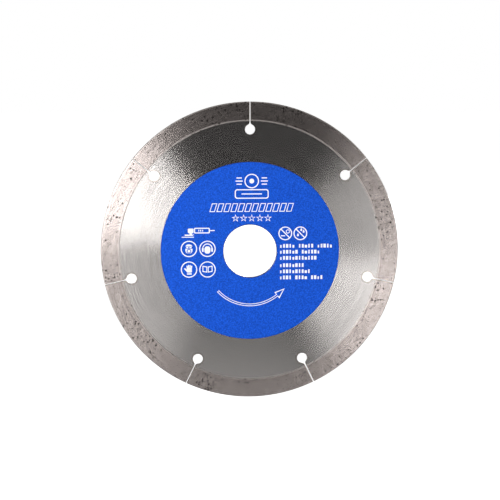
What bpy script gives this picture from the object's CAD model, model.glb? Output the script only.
import math
import random

import bmesh
import bpy
from mathutils import Euler, Matrix, Vector


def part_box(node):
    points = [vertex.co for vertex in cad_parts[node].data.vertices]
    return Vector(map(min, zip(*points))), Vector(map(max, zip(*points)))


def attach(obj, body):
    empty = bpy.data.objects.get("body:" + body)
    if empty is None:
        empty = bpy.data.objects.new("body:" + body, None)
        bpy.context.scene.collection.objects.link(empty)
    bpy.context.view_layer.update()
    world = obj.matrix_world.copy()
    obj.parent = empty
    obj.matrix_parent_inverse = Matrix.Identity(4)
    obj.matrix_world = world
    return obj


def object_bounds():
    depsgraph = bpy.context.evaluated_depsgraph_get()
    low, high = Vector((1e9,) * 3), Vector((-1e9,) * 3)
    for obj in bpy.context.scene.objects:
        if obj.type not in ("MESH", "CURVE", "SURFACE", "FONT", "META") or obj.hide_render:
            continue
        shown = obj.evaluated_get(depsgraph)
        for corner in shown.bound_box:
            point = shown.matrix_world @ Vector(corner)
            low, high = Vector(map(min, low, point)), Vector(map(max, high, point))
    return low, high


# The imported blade. It stands upright with its label to -Y, its spin axis along Y through the
# origin, and slot 1 at the top. All sizes below are in metres.
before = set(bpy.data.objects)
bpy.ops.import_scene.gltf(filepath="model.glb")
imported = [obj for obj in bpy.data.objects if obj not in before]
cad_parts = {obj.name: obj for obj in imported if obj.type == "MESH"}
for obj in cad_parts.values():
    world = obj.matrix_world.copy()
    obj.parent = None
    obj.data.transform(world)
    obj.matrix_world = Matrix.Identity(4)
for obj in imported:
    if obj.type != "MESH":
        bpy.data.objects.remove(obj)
cad_low, cad_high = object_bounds()
blade_radius = (cad_high.z - cad_low.z) / 2


# ---------------------------------------------------------------- camera
# A long lens a little above and to the left of the blade's axis, far enough back that the whole
# disc keeps an even margin.
camera_distance = 0.61
aim = Vector((0, 0, 0.0004))


def toward(turn, rise):
    """A direction from the bore, in degrees. Turn 0 is in front of the label, 90 to its right."""
    turn, rise = math.radians(turn), math.radians(rise)
    return Vector((
        math.sin(turn) * math.cos(rise),
        -math.cos(turn) * math.cos(rise),
        math.sin(rise)))


away = toward(-3, 7.7)
lens = bpy.data.cameras.new("camera")
lens.lens = 104.5
lens.sensor_width = 36
camera = bpy.data.objects.new("camera", lens)
camera.location = aim + away * camera_distance
camera.rotation_euler = (-away).to_track_quat("-Z", "Y").to_euler()
bpy.context.scene.collection.objects.link(camera)
bpy.context.scene.camera = camera
bpy.context.scene.view_settings.view_transform = "Standard"


# ---------------------------------------------------------------- floor
# A plain white floor just under the cutting edge. To the eye it is pure white, and runs into the
# white behind it. The steel doesn't mirror it, and the low soft boxes shine through it.
floor_size = 6.0
floor_gap = 0.0001
shell = bmesh.new()
bmesh.ops.create_grid(shell, x_segments=1, y_segments=1, size=floor_size / 2)
bmesh.ops.translate(shell, verts=shell.verts, vec=(0, 0, cad_low.z - floor_gap))
floor_mesh = bpy.data.meshes.new("floor")
shell.to_mesh(floor_mesh)
shell.free()
floor = bpy.data.objects.new("floor", floor_mesh)
floor.visible_glossy = False
floor.visible_shadow = False
bpy.context.scene.collection.objects.link(floor)
paper = bpy.data.materials.new("floor_paper")
paper.use_nodes = True
nodes, links = paper.node_tree.nodes, paper.node_tree.links
surface = nodes["Principled BSDF"]
surface.inputs["Base Color"].default_value = (0.8, 0.8, 0.8, 1)
surface.inputs["Roughness"].default_value = 0.9
surface.inputs["Specular IOR Level"].default_value = 0.1
surface.inputs["Emission Color"].default_value = (1, 1, 1, 1)
path = nodes.new("ShaderNodeLightPath")
links.new(path.outputs["Is Camera Ray"], surface.inputs["Emission Strength"])
floor_mesh.materials.append(paper)


# ---------------------------------------------------------------- studio light
# Soft boxes round the blade, with a dim room between them. Circular grinding marks throw each box
# back as a bright pair of wedges that face each other across the bore.
room = bpy.data.worlds.new("room")
room.use_nodes = True
nodes, links = room.node_tree.nodes, room.node_tree.links
seen = nodes["Background"]
seen.inputs["Color"].default_value = (1, 1, 1, 1)
dim = nodes.new("ShaderNodeBackground")
dim.inputs["Color"].default_value = (0.03, 0.03, 0.03, 1)
path = nodes.new("ShaderNodeLightPath")
pick = nodes.new("ShaderNodeMixShader")
links.new(path.outputs["Is Camera Ray"], pick.inputs[0])
links.new(dim.outputs[0], pick.inputs[1])
links.new(seen.outputs[0], pick.inputs[2])
links.new(pick.outputs[0], nodes["World Output"].inputs["Surface"])
bpy.context.scene.world = room


def soft_box(name, eye, clock, off, across, along, brightness):
    """A soft box that faces the bore. The flat faces mirror the view from eye; the box stands off
    degrees away from that mirrored view, towards clock degrees on the blade's face from its top."""
    distance = 0.9
    mirrored = Vector((-eye.x, eye.y, -eye.z))
    clock, off = math.radians(clock), math.radians(off)
    outward = Vector((math.sin(clock), 0, math.cos(clock)))
    outward = (outward - mirrored * outward.dot(mirrored)).normalized()
    place = mirrored * math.cos(off) + outward * math.sin(off)
    length_axis = outward * math.cos(off) - mirrored * math.sin(off)
    lamp = bpy.data.lights.new(name, "AREA")
    lamp.shape = "RECTANGLE"
    lamp.size = across
    lamp.size_y = along
    lamp.energy = brightness * math.pi * across * along
    box = bpy.data.objects.new(name, lamp)
    box.location = place * distance
    box.rotation_euler = Matrix((length_axis.cross(place), length_axis, place)).transposed().to_euler()
    box.visible_camera = False
    bpy.context.scene.collection.objects.link(box)


# The key stands in line with the brightest wedge and a second box faces it from the right. A fill
# on each side makes the level wedges beside them, and a low card lights the lower half. The same
# set stands behind for the bare face, with half the key. The side card is what the label side
# mirrors when it is seen from the upper right. The edge light stands on the right, above the bore
# and a little behind, and catches the cutting edge.
for side, eye, key in (("front", away, 14), ("back", toward(225, 15), 7)):
    soft_box("key_" + side, eye, 296, 32, 0.3, 0.4, key)
    soft_box("second_" + side, eye, 121, 28, 0.3, 0.4, 4)
    soft_box("right_fill_" + side, eye, 80, 30, 0.4, 0.45, 2.8)
    soft_box("left_fill_" + side, eye, 255, 30, 0.45, 0.5, 2.6)
    soft_box("low_card_" + side, eye, 190, 16, 0.4, 0.15, 1.3)
soft_box("side_card", toward(45, 25), 0, 0, 0.8, 0.5, 0.5)
soft_box("edge_light", toward(-97, -20), 0, 0, 0.4, 0.4, 3)


# ---------------------------------------------------------------- steel core
# A disc of hardened steel, cut by laser and ground flat on both faces while it turns, which leaves
# fine circles round the bore and a few stray arcs across them. Its cuts keep a faint heat tint.
def plug(tree, made, inputs):
    """Set a node's inputs. Each is a plain value, or the socket that feeds it."""
    for name, value in inputs.items():
        if isinstance(value, bpy.types.NodeSocket):
            tree.links.new(value, made.inputs[name])
        else:
            made.inputs[name].default_value = value


def node(tree, kind, inputs, **settings):
    """A node in a tree, with its inputs and its plain settings."""
    made = tree.nodes.new("ShaderNode" + kind)
    for name, value in settings.items():
        setattr(made, name, value)
    plug(tree, made, inputs)
    return made


def maths(tree, operation, *values):
    """One sum in a tree, on plain values or sockets."""
    return node(tree, "Math", dict(enumerate(values)), operation=operation).outputs[0]


def spread(tree, value, low, high, to_low, to_high):
    """A value moved from one range to another, and held inside it."""
    made = node(tree, "MapRange", {
        "Value": value, "From Min": low, "From Max": high, "To Min": to_low, "To Max": to_high})
    return made.outputs[0]


def mixed(tree, factor, first, second):
    """A colour between two others."""
    return node(tree, "Mix", {0: factor, 6: first, 7: second}, data_type="RGBA").outputs[2]


def new_group(name, inputs, outputs):
    """An empty node group with float sockets. It returns the group and its two end nodes."""
    group = bpy.data.node_groups.new(name, "ShaderNodeTree")
    for socket in inputs:
        group.interface.new_socket(socket, in_out="INPUT", socket_type="NodeSocketFloat")
    for socket in outputs:
        group.interface.new_socket(socket, in_out="OUTPUT", socket_type="NodeSocketFloat")
    return group, group.nodes.new("NodeGroupInput"), group.nodes.new("NodeGroupOutput")


def in_plane(tree):
    """The place on the blade with its depth left out, from the bore's centre."""
    place = node(tree, "TexCoord", {}).outputs["Object"]
    return node(tree, "VectorMath", {0: place, 1: (1, 0, 1)}, operation="MULTIPLY").outputs[0]


def length(tree, vector):
    """How long a vector is."""
    return node(tree, "VectorMath", {0: vector}, operation="LENGTH").outputs["Value"]


def placed(tree, group, inputs):
    """A node group placed in a tree. It returns the group's one output."""
    return node(tree, "Group", inputs, node_tree=group).outputs[0]


# Grinding marks: noise drawn out along circles round the bore, crossed by arcs round one other
# centre. The fewer the breaks in each radian, the longer the marks.
stray_centre = (0.071, 0, -0.058)
circular_grain, asked, given = new_group(
    "circular_grain", ["Lines Per Metre", "Breaks Per Radian", "Stray Arcs"], ["Grain"])
tree = circular_grain
rings = []
for centre, detail in (((0, 0, 0), 3), (stray_centre, 2)):
    moved = node(tree, "VectorMath", {0: in_plane(tree), 1: centre}, operation="SUBTRACT").outputs[0]
    heading = node(tree, "VectorMath", {0: moved}, operation="NORMALIZE").outputs[0]
    drawn = node(tree, "VectorMath", {
        0: heading, "Scale": asked.outputs["Breaks Per Radian"]}, operation="SCALE").outputs[0]
    across = maths(tree, "MULTIPLY", length(tree, moved), asked.outputs["Lines Per Metre"])
    across = node(tree, "CombineXYZ", {"Y": across}).outputs[0]
    joined = node(tree, "VectorMath", {0: drawn, 1: across}, operation="ADD").outputs[0]
    noise = node(tree, "TexNoise", {"Vector": joined, "Scale": 1, "Detail": detail, "Roughness": 0.7})
    rings.append(noise.outputs["Fac"])
blend = node(tree, "Mix", {0: asked.outputs["Stray Arcs"], 2: rings[0], 3: rings[1]}, data_type="FLOAT")
plug(tree, given, {"Grain": blend.outputs[0]})

# How near a point is to a slot or its keyhole: 1 at the cut, and 0 from Width away. The blade is
# folded into one seventh, where the slot runs out along one line from the keyhole's centre.
slot_count = 7
slot_step = math.tau / slot_count
slot_half_width = 0.000175
keyhole_centre = 0.0510
keyhole_radius = 0.0021
near_cut, asked, given = new_group("near_cut", ["Width"], ["Nearness"])
tree = near_cut
split = node(tree, "SeparateXYZ", {0: in_plane(tree)})
angle = maths(tree, "ARCTAN2", split.outputs["X"], split.outputs["Z"])
step = maths(tree, "DIVIDE", angle, slot_step)
folded = maths(tree, "SUBTRACT", step, maths(tree, "ROUND", step))
folded = maths(tree, "MULTIPLY", folded, slot_step)
reach = length(tree, in_plane(tree))
along = maths(tree, "MULTIPLY", reach, maths(tree, "COSINE", folded))
along = maths(tree, "SUBTRACT", along, keyhole_centre)
across = maths(tree, "MULTIPLY", reach, maths(tree, "SINE", folded))
hole = length(tree, node(tree, "CombineXYZ", {"X": along, "Y": across}).outputs[0])
hole = maths(tree, "ABSOLUTE", maths(tree, "SUBTRACT", hole, keyhole_radius))
slit = node(tree, "CombineXYZ", {"X": maths(tree, "MINIMUM", along, 0), "Y": across})
slit = maths(tree, "SUBTRACT", length(tree, slit.outputs[0]), slot_half_width)
nearest = maths(tree, "MINIMUM", hole, slit)
plug(tree, given, {"Nearness": spread(tree, nearest, 0, asked.outputs["Width"], 1, 0)})

# Small specks, each 1 in the middle and 0 outside. Share is the part of the cells that has one,
# and Size is measured against a cell.
specks, asked, given = new_group("specks", ["Cells Per Metre", "Share", "Size"], ["Speck"])
tree = specks
place = node(tree, "TexCoord", {})
cells = node(tree, "TexVoronoi", {
    "Vector": place.outputs["Object"], "Scale": asked.outputs["Cells Per Metre"], "Randomness": 1})
chance = node(tree, "SeparateColor", {0: cells.outputs["Color"]}).outputs[0]
kept = maths(tree, "LESS_THAN", chance, asked.outputs["Share"])
size = maths(tree, "MULTIPLY", asked.outputs["Size"], maths(tree, "ADD", chance, 0.5))
dot = spread(tree, maths(tree, "DIVIDE", cells.outputs["Distance"], size), 0.6, 1, 1, 0)
plug(tree, given, {"Speck": maths(tree, "MULTIPLY", dot, kept)})


def new_material(name, inputs):
    """A material with a principled surface. It returns the material, its tree and the surface."""
    made = bpy.data.materials.new(name)
    made.use_nodes = True
    surface = made.node_tree.nodes["Principled BSDF"]
    plug(made.node_tree, surface, inputs)
    return made, made.node_tree, surface


def across_marks(tree):
    """The direction out from the bore, across the grinding marks. On an edge wall it runs along Y."""
    outward = node(tree, "VectorMath", {0: in_plane(tree)}, operation="NORMALIZE").outputs[0]
    return node(tree, "VectorMath", {0: outward, 1: (0, 0.2, 0)}, operation="ADD").outputs[0]


dull_steel = (0.57, 0.542, 0.526, 1)
bright_steel = (0.68, 0.648, 0.629, 1)
streak_steel = (0.46, 0.437, 0.424, 1)
heat_tint = (0.3, 0.235, 0.17, 1)
rust_tint = (0.3, 0.26, 0.23, 1)
steel, tree, surface = new_material("ground_steel", {"Metallic": 1, "Anisotropic": 0.95})
marks = placed(tree, circular_grain, {"Lines Per Metre": 4200, "Breaks Per Radian": 4, "Stray Arcs": 0.22})
broad = placed(tree, circular_grain, {"Lines Per Metre": 1500, "Breaks Per Radian": 3, "Stray Arcs": 0.12})
heat = placed(tree, near_cut, {"Width": 0.0009})
burr = placed(tree, near_cut, {"Width": 0.00018})
rust = placed(tree, specks, {"Cells Per Metre": 260, "Share": 0.16, "Size": 0.09})
tone = mixed(tree, spread(tree, marks, 0.3, 0.7, 0, 1), dull_steel, bright_steel)
tone = mixed(tree, spread(tree, broad, 0.4, 0.62, 0, 0.2), tone, streak_steel)
tone = mixed(tree, maths(tree, "MULTIPLY", heat, 0.4), tone, heat_tint)
tone = mixed(tree, maths(tree, "MULTIPLY", rust, 0.4), tone, rust_tint)
rough = spread(tree, marks, 0.3, 0.7, 0.165, 0.2)
rough = maths(tree, "ADD", rough, spread(tree, broad, 0.35, 0.65, -0.006, 0.01))
rough = maths(tree, "ADD", rough, maths(tree, "MULTIPLY", burr, 0.2))
relief = maths(tree, "SUBTRACT", marks, maths(tree, "MULTIPLY", rust, 0.6))
bump = node(tree, "Bump", {"Strength": 1, "Distance": 0.0000007, "Height": relief})
plug(tree, surface, {
    "Base Color": tone, "Roughness": rough, "Normal": bump.outputs[0], "Tangent": across_marks(tree)})
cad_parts["steel_core"].material_slots[0].material = steel


# ---------------------------------------------------------------- rim segments
# Seven arcs of metal powder and diamond, hot-pressed onto the core's tongue and ground on their
# sides. The bond is warmer and rougher than the steel, open with small pores, and worn at its edges.

# How near a point is to a circle round the bore: 1 on it, and 0 from Width away.
near_ring, asked, given = new_group("near_ring", ["Radius", "Width"], ["Nearness"])
tree = near_ring
reach = length(tree, in_plane(tree))
gap = maths(tree, "ABSOLUTE", maths(tree, "SUBTRACT", reach, asked.outputs["Radius"]))
plug(tree, given, {"Nearness": spread(tree, gap, 0, asked.outputs["Width"], 1, 0)})

# Soft patches, from 0 to 1.
patches, asked, given = new_group("patches", ["Patches Per Metre", "Detail"], ["Patch"])
place = node(patches, "TexCoord", {})
noise = node(patches, "TexNoise", {
    "Vector": place.outputs["Object"], "Scale": asked.outputs["Patches Per Metre"],
    "Detail": asked.outputs["Detail"], "Roughness": 0.6})
plug(patches, given, {"Patch": noise.outputs["Fac"]})


def patchy(tree, per_metre, detail):
    """The patches group placed in a material."""
    return placed(tree, patches, {"Patches Per Metre": per_metre, "Detail": detail})


ramp_radius = 0.05475
dull_bond = (0.43, 0.377, 0.358, 1)
bright_bond = (0.59, 0.525, 0.501, 1)
patch_tint = (0.4, 0.35, 0.33, 1)
ramp_tint = (0.31, 0.285, 0.27, 1)
rounding_tint = (0.21, 0.19, 0.178, 1)
burr_tint = (0.2, 0.16, 0.13, 1)
pit_tint = (0.22, 0.19, 0.17, 1)
pore_tint = (0.06, 0.05, 0.045, 1)
bond, tree, surface = new_material("sintered_bond", {"Anisotropic": 0.8})
marks = placed(tree, circular_grain, {"Lines Per Metre": 2200, "Breaks Per Radian": 8, "Stray Arcs": 0.45})
crowd = spread(tree, patchy(tree, 38, 2), 0.4, 0.58, 0.14, 0.6)
pores = placed(tree, specks, {"Cells Per Metre": 820, "Share": crowd, "Size": 0.46})
pits = placed(tree, specks, {"Cells Per Metre": 2000, "Share": crowd, "Size": 0.5})
ramp = placed(tree, near_ring, {"Radius": ramp_radius, "Width": 0.00035})
rounding = placed(tree, near_ring, {"Radius": blade_radius, "Width": 0.0006})
burr = placed(tree, near_cut, {"Width": 0.00025})
edges = maths(tree, "MAXIMUM", maths(tree, "MAXIMUM", ramp, rounding), burr)
tone = mixed(tree, spread(tree, marks, 0.3, 0.7, 0, 1), dull_bond, bright_bond)
tone = mixed(tree, spread(tree, patchy(tree, 520, 4), 0.4, 0.62, 0, 0.5), tone, patch_tint)
tone = mixed(tree, ramp, tone, ramp_tint)
tone = mixed(tree, rounding, tone, rounding_tint)
tone = mixed(tree, burr, tone, burr_tint)
tone = mixed(tree, maths(tree, "MULTIPLY", pits, 0.6), tone, pit_tint)
tone = mixed(tree, maths(tree, "MULTIPLY", pores, 0.95), tone, pore_tint)
rough = spread(tree, marks, 0.3, 0.7, 0.19, 0.25)
rough = maths(tree, "ADD", rough, maths(tree, "MULTIPLY", patchy(tree, 700, 3), 0.03))
rough = maths(tree, "ADD", rough, maths(tree, "MULTIPLY", edges, 0.35))
metal = maths(tree, "SUBTRACT", 0.985, maths(tree, "MULTIPLY", edges, 0.5))
relief = maths(tree, "SUBTRACT", marks, maths(tree, "MULTIPLY", pores, 3))
relief = maths(tree, "SUBTRACT", relief, pits)
bump = node(tree, "Bump", {"Strength": 1, "Distance": 0.0000025, "Height": relief})
plug(tree, surface, {
    "Base Color": tone, "Metallic": metal, "Roughness": rough, "Normal": bump.outputs[0],
    "Tangent": across_marks(tree)})
rims = [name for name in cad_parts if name.startswith("rim_segment")]
for name in rims:
    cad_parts[name].material_slots[0].material = bond


# ---------------------------------------------------------------- diamond grit
# Crystals that the side grinding and the edge lay bare: small, faceted, smoky and a little glossy,
# each a slightly different tone.
dark_grit = (0.012, 0.011, 0.009, 1)
smoky_grit = (0.075, 0.065, 0.05, 1)
grit, tree, surface = new_material("diamond", {"Specular IOR Level": 0.35})
tone = mixed(tree, spread(tree, patchy(tree, 1500, 1), 0.35, 0.65, 0, 1), dark_grit, smoky_grit)
flecks = patchy(tree, 12000, 2)
bump = node(tree, "Bump", {"Strength": 0.5, "Distance": 0.00002, "Height": flecks})
plug(tree, surface, {
    "Base Color": tone, "Roughness": spread(tree, flecks, 0.35, 0.65, 0.22, 0.4), "Normal": bump.outputs[0]})
for name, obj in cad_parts.items():
    if name.startswith("diamond_grit"):
        obj.material_slots[0].material = grit


# ---------------------------------------------------------------- fine grains
# Broken and smaller crystals between the large ones, a little proud of the bond. They lie in loose
# clusters on both sides, and thicker along the cutting edge.
def add_grain(shell, dice, place, size):
    """One small crystal: a few facets, turned and squashed at random."""
    turned = Euler([dice.uniform(0, math.tau) for axis in range(3)]).to_matrix().to_4x4()
    squashed = Matrix.Diagonal([dice.uniform(0.75, 1.2) for axis in range(3)] + [1])
    bmesh.ops.create_icosphere(
        shell, subdivisions=1, radius=size, matrix=Matrix.Translation(place) @ turned @ squashed)


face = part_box(rims[0])[1][1]
half_edge = 0.00034
foot_radius, top_radius = 0.0553, 0.0618
smallest, largest = 0.00006, 0.00013
cluster_count = 60
cluster_spread = 0.05
clustered_share = 0.6
slot_clearance = 0.0005
for side, name, count in (
        (-1, "fine_grains_label_side", 900), (1, "fine_grains_back", 900), (0, "fine_grains_edge", 1100)):
    dice = random.Random(40 + side)
    shell = bmesh.new()
    clusters = [dice.uniform(0, math.tau) for k in range(cluster_count)]
    while count:
        if dice.random() < clustered_share:
            angle = dice.gauss(dice.choice(clusters), cluster_spread)
        else:
            angle = dice.uniform(0, math.tau)
        size = dice.uniform(smallest, largest)
        reach = dice.uniform(foot_radius, top_radius)
        depth = side * (face - size * 0.6)
        if side == 0:
            reach = blade_radius - size * 0.7
            depth = dice.uniform(-half_edge, half_edge)
        step = angle / slot_step
        if abs(step - round(step)) * reach * math.tau / slot_count < slot_clearance:
            continue
        add_grain(shell, dice, Vector((reach * math.sin(angle), depth, reach * math.cos(angle))), size)
        count -= 1
    mesh = bpy.data.meshes.new(name)
    shell.to_mesh(mesh)
    shell.free()
    mesh.materials.append(grit)
    grains = bpy.data.objects.new(name, mesh)
    bpy.context.scene.collection.objects.link(grains)
    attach(grains, "root")


# ---------------------------------------------------------------- label adhesive
# A thin film of pressure-sensitive glue that holds the label to the steel. Only its edge shows,
# cloudy, with some dust in it.
dark_glue = (0.42, 0.41, 0.37, 1)
cloudy_glue = (0.6, 0.59, 0.55, 1)
dust_tint = (0.2, 0.19, 0.17, 1)
glue, tree, surface = new_material("adhesive", {})
dust = placed(tree, specks, {"Cells Per Metre": 4000, "Share": 0.4, "Size": 0.4})
tone = mixed(tree, patchy(tree, 600, 3), dark_glue, cloudy_glue)
tone = mixed(tree, maths(tree, "MULTIPLY", dust, 0.6), tone, dust_tint)
haze = patchy(tree, 3000, 2)
bump = node(tree, "Bump", {"Strength": 0.6, "Distance": 0.00001, "Height": haze})
plug(tree, surface, {
    "Base Color": tone, "Roughness": spread(tree, haze, 0.3, 0.7, 0.35, 0.6), "Normal": bump.outputs[0]})
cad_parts["label_adhesive"].material_slots[0].material = glue


# ---------------------------------------------------------------- label foil
# A round label die-cut from printed plastic foil. The blue is a satin ink with a fine pearl in it,
# and the die leaves both cut edges a little crushed and dark.
label_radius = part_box("label_foil")[1][0]
label_hole_radius = 0.0113
deep_blue = (0.0024, 0.05, 0.39, 1)
bright_blue = (0.0075, 0.102, 0.68, 1)
pearl_blue = (0.028, 0.17, 0.86, 1)
crushed_blue = (0.004, 0.03, 0.2, 1)
blue, tree, surface = new_material("blue_foil", {"Metallic": 0.35, "Specular IOR Level": 0.12})
pearl = placed(tree, specks, {"Cells Per Metre": 3400, "Share": 0.45, "Size": 0.5})
rim_cut = placed(tree, near_ring, {"Radius": label_radius, "Width": 0.00035})
hole_cut = placed(tree, near_ring, {"Radius": label_hole_radius, "Width": 0.00025})
tone = mixed(tree, spread(tree, patchy(tree, 1600, 3), 0.35, 0.65, 0, 1), deep_blue, bright_blue)
tone = mixed(tree, maths(tree, "MULTIPLY", pearl, 0.5), tone, pearl_blue)
crushed = maths(tree, "MAXIMUM", rim_cut, hole_cut)
tone = mixed(tree, maths(tree, "MULTIPLY", crushed, 0.7), tone, crushed_blue)
peel = patchy(tree, 2200, 3)
bump = node(tree, "Bump", {"Strength": 0.5, "Distance": 0.000008, "Height": peel})
plug(tree, surface, {
    "Base Color": tone, "Roughness": spread(tree, peel, 0.3, 0.7, 0.4, 0.52), "Normal": bump.outputs[0]})
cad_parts["label_foil"].material_slots[0].material = blue


# ---------------------------------------------------------------- white ink
# The print, screened in white over the blue. It is a thin, slightly grainy coat, and a little of
# the blue comes through where it is thinnest.
full_white = (0.93, 0.94, 0.96, 1)
thin_white = (0.42, 0.52, 0.86, 1)
bare_blue = (0.1, 0.22, 0.7, 1)
white, tree, surface = new_material("white_ink", {})
thin = spread(tree, patchy(tree, 5200, 4), 0.5, 0.72, 0, 0.3)
tone = mixed(tree, thin, full_white, thin_white)
pinholes = placed(tree, specks, {"Cells Per Metre": 5000, "Share": 0.12, "Size": 0.4})
tone = mixed(tree, maths(tree, "MULTIPLY", pinholes, 0.5), tone, bare_blue)
screen = patchy(tree, 6000, 2)
bump = node(tree, "Bump", {"Strength": 0.5, "Distance": 0.000006, "Height": screen})
plug(tree, surface, {
    "Base Color": tone, "Roughness": spread(tree, screen, 0.3, 0.7, 0.45, 0.6), "Normal": bump.outputs[0]})
for name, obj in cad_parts.items():
    if name.endswith("_print"):
        obj.material_slots[0].material = white
